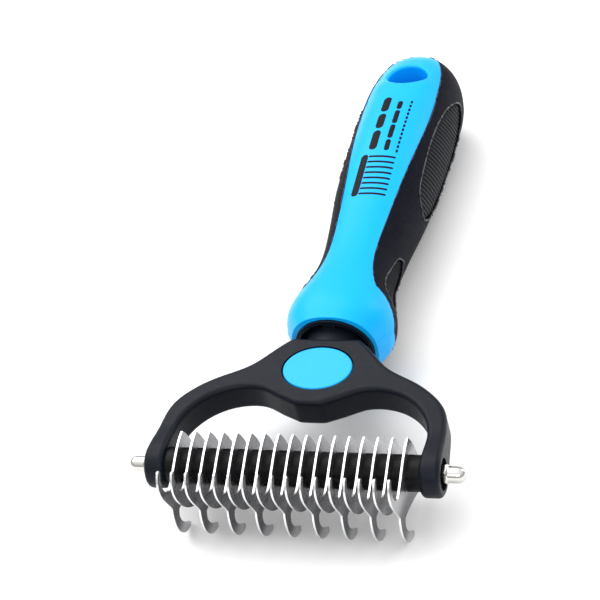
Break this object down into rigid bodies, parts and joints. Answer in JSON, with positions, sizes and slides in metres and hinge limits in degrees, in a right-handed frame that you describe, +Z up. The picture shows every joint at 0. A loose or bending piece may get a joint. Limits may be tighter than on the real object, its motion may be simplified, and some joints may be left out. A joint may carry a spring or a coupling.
{
  "type": "undercoat rake",
  "caption": "Two-sided dematting rake: a pack of thin claw blades on an axle held in a bowed yoke, with a flared two-tone handle that ends in a hanging hole.",
  "frame": {"origin": "on the surface the tool lies on, under the middle of its length and width", "axes": "+X along the axle, +Y from the blades towards the handle's end, +Z up, with the finer blade side up and the hooks and the handle's underside on the surface"},
  "size_m": [0.1014, 0.2132, 0.0371],
  "materials": {
    "handle_blue": "bright blue moulded plastic, semi-gloss",
    "badge_blue": "light blue moulded plastic, smooth",
    "yoke_black": "black moulded plastic, satin",
    "grip_rubber": "soft black rubber, fine matte texture",
    "spacer_black": "black tube, satin",
    "blade_steel": "stainless strip, fine brushed faces and polished edges",
    "nut_bright": "bright nickel plate",
    "axle_steel": "plain steel"
  },
  "bodies": {
    "root": {"axle_rod": "axle_steel", "badge_disc": "badge_blue", "blade_01": "blade_steel", "blade_02": "blade_steel", "blade_03": "blade_steel", "blade_04": "blade_steel", "blade_05": "blade_steel", "blade_06": "blade_steel", "blade_07": "blade_steel", "blade_08": "blade_steel", "blade_09": "blade_steel", "blade_10": "blade_steel", "blade_11": "blade_steel", "blade_12": "blade_steel", "blade_13": "blade_steel", "blade_14": "blade_steel", "blade_15": "blade_steel", "blade_16": "blade_steel", "blade_17": "blade_steel", "cap_nut_left": "nut_bright", "cap_nut_right": "nut_bright", "end_spacer_left": "spacer_black", "end_spacer_right": "spacer_black", "grip_overmould": "grip_rubber", "handle_core": "handle_blue", "neck_collar": "yoke_black", "spacer_01": "spacer_black", "spacer_02": "spacer_black", "spacer_03": "spacer_black", "spacer_04": "spacer_black", "spacer_05": "spacer_black", "spacer_06": "spacer_black", "spacer_07": "spacer_black", "spacer_08": "spacer_black", "spacer_09": "spacer_black", "spacer_10": "spacer_black", "spacer_11": "spacer_black", "spacer_12": "spacer_black", "spacer_13": "spacer_black", "spacer_14": "spacer_black", "spacer_15": "spacer_black", "spacer_16": "spacer_black", "tang_pin": "axle_steel", "yoke_frame": "yoke_black"}
  },
  "joints": []
}
